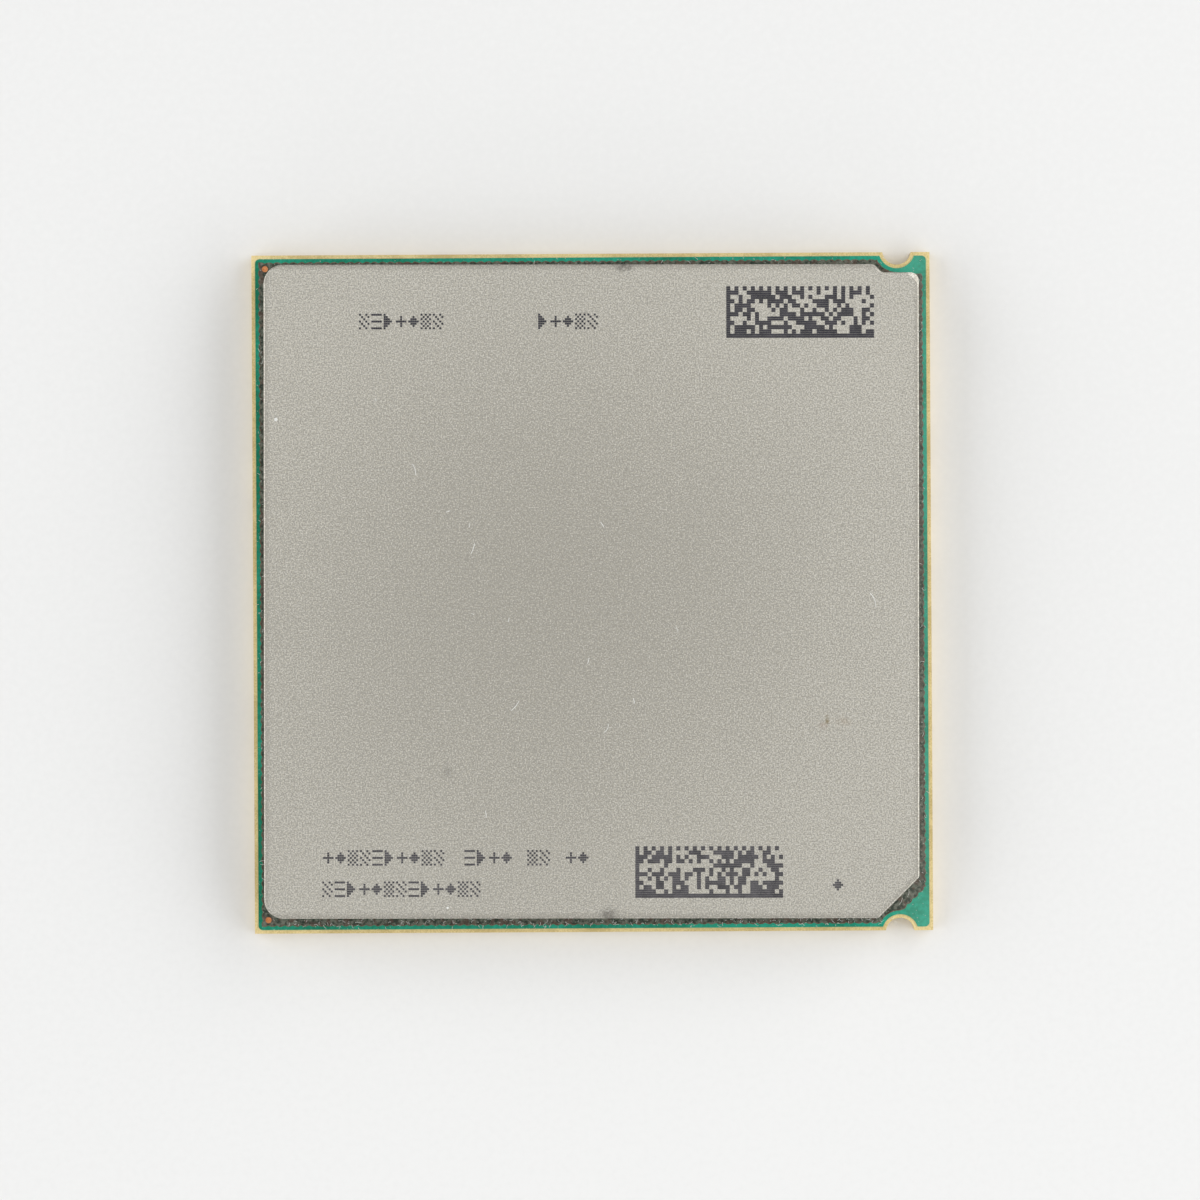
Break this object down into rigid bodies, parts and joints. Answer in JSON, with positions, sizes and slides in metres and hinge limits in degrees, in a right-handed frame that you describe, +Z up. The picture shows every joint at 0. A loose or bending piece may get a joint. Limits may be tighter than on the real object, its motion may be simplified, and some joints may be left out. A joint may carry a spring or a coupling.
{
  "type": "computer processor",
  "caption": "Square lidded processor: matte grey metal lid glued on a green laminate board with half-round key notches, over a grid of gold contact lands.",
  "frame": {"origin": "centre of the land side of the board", "axes": "+Z up through the lid, +X towards the edge beside the key notches, +Y towards the edge beside the lid's relief"},
  "size_m": [0.05, 0.05, 0.0046],
  "materials": {
    "laminate": "bare resin laminate",
    "copper": "bare copper foil",
    "solder_mask": "satin green mask",
    "gold_plating": "thin gold plating",
    "nickel_lid": "matte nickel plating",
    "seal_adhesive": "cured adhesive",
    "silicon": "polished back of a die",
    "solder": "tin",
    "underfill_resin": "cured resin",
    "thermal_compound": "cured compound",
    "capacitor_ceramic": "fired ceramic"
  },
  "bodies": {
    "root": {"laminate_board": "laminate", "top_copper_plane": "copper", "top_solder_mask": "solder_mask", "bottom_solder_mask": "solder_mask", "contact_lands": "gold_plating", "lid": "nickel_lid", "lid_seal": "seal_adhesive", "silicon_die": "silicon", "solder_bump_layer": "solder", "underfill": "underfill_resin", "thermal_interface": "thermal_compound", "capacitor_pads": "copper", "capacitor_bodies_right": "capacitor_ceramic", "capacitor_bodies_rear": "capacitor_ceramic", "capacitor_bodies_left": "capacitor_ceramic", "capacitor_bodies_front": "capacitor_ceramic", "capacitor_ends_right": "solder", "capacitor_ends_rear": "solder", "capacitor_ends_left": "solder", "capacitor_ends_front": "solder"}
  },
  "joints": []
}
